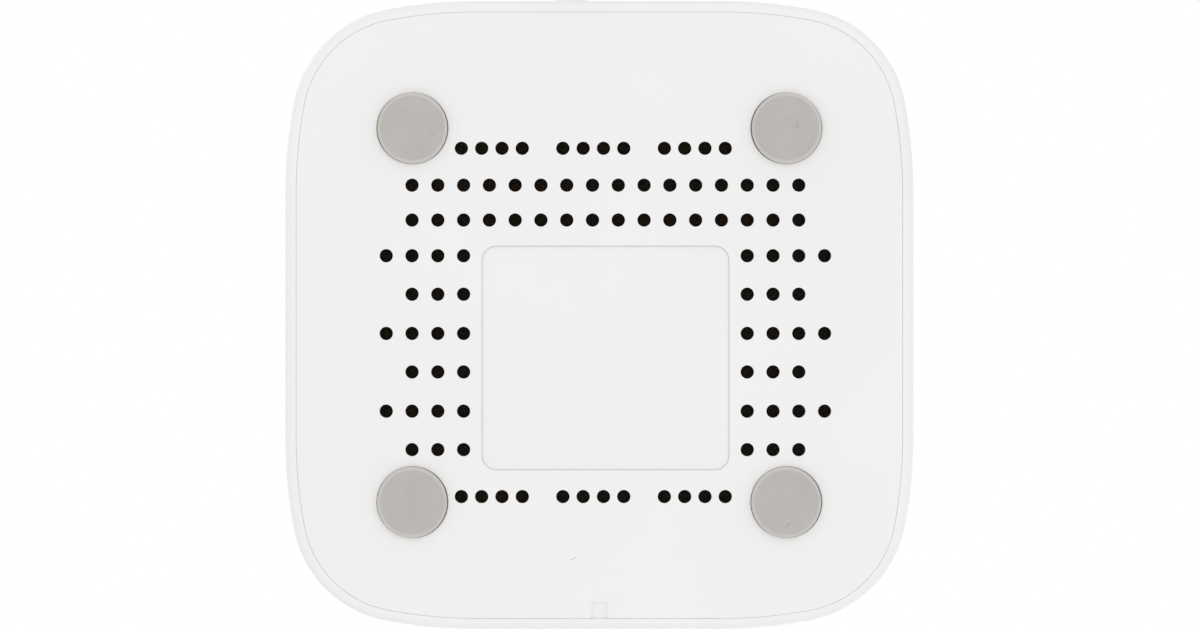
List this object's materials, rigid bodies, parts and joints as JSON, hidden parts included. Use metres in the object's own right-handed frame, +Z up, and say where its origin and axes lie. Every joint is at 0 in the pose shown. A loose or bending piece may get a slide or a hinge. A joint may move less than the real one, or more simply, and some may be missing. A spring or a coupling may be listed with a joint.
{
  "type": "zigbee gateway",
  "caption": "Low square gateway housing with bulging sides, vented snap-in base on rubber feet, rear network and power sockets and a rear push button.",
  "frame": {"origin": "centre of the footprint, in the plane of the feet", "axes": "+Z up, +Y towards the rear wall with the sockets and the button, +X to the right seen from the front"},
  "size_m": [0.09, 0.0909, 0.0225],
  "materials": {
    "shell_plastic": "fine satin moulding",
    "base_plastic": "fine satin moulding",
    "foot_rubber": "matt",
    "button_plastic": "satin",
    "board_laminate": "solder mask",
    "screw_steel": "zinc plated",
    "socket_steel": "nickel plated",
    "socket_plastic": "moulded",
    "contact_gold": "gold plated",
    "clear_plastic": "clear",
    "diode_resin": "clear",
    "chip_epoxy": "moulded",
    "ferrite": "sintered",
    "capacitor_can": "satin",
    "ceramic": "fired",
    "copper_trace": "plated"
  },
  "bodies": {
    "housing": {"top_shell": "shell_plastic", "base_plate": "base_plastic", "foot_rear_left": "foot_rubber", "foot_rear_right": "foot_rubber", "foot_front_left": "foot_rubber", "foot_front_right": "foot_rubber", "main_board": "board_laminate", "board_screws": "screw_steel", "ethernet_jack_shield": "socket_steel", "ethernet_jack_insert": "socket_plastic", "ethernet_jack_contacts": "contact_gold", "usb_socket_shield": "socket_steel", "usb_socket_tongue": "socket_plastic", "usb_socket_contacts": "contact_gold", "reset_switch_body": "chip_epoxy", "reset_switch_frame": "socket_steel", "light_guide": "clear_plastic", "indicator_leds": "diode_resin", "zigbee_module_board": "board_laminate", "zigbee_module_shield": "socket_steel", "zigbee_module_antenna": "copper_trace", "processor_chip": "chip_epoxy", "flash_chip": "chip_epoxy", "ethernet_transformer": "chip_epoxy", "crystals": "capacitor_can", "power_inductors": "ferrite", "power_regulators": "chip_epoxy", "bulk_capacitors": "capacitor_can", "ceramic_capacitors": "ceramic"},
    "reset_button": {"reset_button": "button_plastic", "reset_switch_plunger": "socket_plastic"}
  },
  "joints": [
    {"name": "reset_press", "type": "slide", "parent": "housing", "child": "reset_button", "axis": [0, -1, 0], "range_m": [0, 0.0003], "stiffness_N_per_m": 500}
  ]
}
